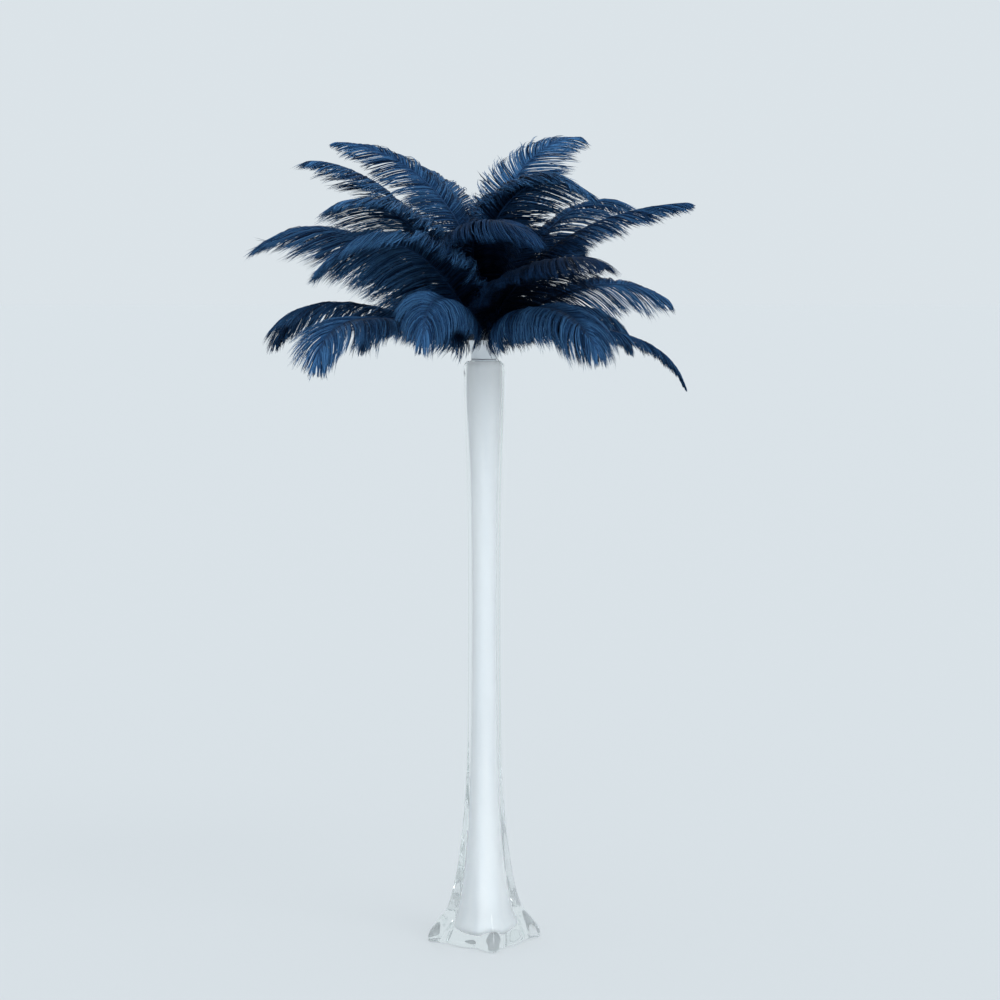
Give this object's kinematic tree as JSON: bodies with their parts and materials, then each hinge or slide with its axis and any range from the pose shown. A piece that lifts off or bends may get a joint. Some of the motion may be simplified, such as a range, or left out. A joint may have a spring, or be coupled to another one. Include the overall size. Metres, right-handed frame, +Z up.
{
  "type": "ostrich feather bouquet in a tower vase",
  "caption": "Tall cased-glass tower vase with a lobed foot and a flared holder, from which navy ostrich plumes arch out like a palm's crown.",
  "frame": {"origin": "centre of the vase's foot, on the surface that it stands on", "axes": "+Z up the vase, -Y the front of the picture, +X to its right"},
  "size_m": [0.4631, 0.5198, 0.8459],
  "materials": {
    "clear_glass": "clear, faintly grey-green glass with a smooth fire-polished surface",
    "white_glass": "opaque white cased glass",
    "holder_plastic": "smooth satin white",
    "navy_plume": "dyed navy, soft and fibrous, with a light sheen along the barbs"
  },
  "bodies": {
    "root": {"vase_glass": "clear_glass", "vase_white_lining": "white_glass", "feather_holder": "holder_plastic", "plume_high_left": "navy_plume", "plume_high_left_back": "navy_plume", "plume_high_back": "navy_plume", "plume_high_right_back": "navy_plume", "plume_high_right_front": "navy_plume", "plume_high_front_curl": "navy_plume", "plume_mid_left_upper": "navy_plume", "plume_mid_left_broad": "navy_plume", "plume_mid_left_long": "navy_plume", "plume_mid_left_front": "navy_plume", "plume_mid_back_left": "navy_plume", "plume_mid_back": "navy_plume", "plume_mid_back_right": "navy_plume", "plume_mid_right_back": "navy_plume", "plume_mid_right_long": "navy_plume", "plume_mid_right_dark": "navy_plume", "plume_mid_right_low": "navy_plume", "plume_low_left_back": "navy_plume", "plume_low_left_front": "navy_plume", "plume_low_front_left": "navy_plume", "plume_low_front_right": "navy_plume", "plume_low_right_broad": "navy_plume", "plume_low_right_far": "navy_plume", "plume_low_back_right": "navy_plume", "plume_low_back": "navy_plume", "plume_low_back_left": "navy_plume"}
  },
  "joints": []
}
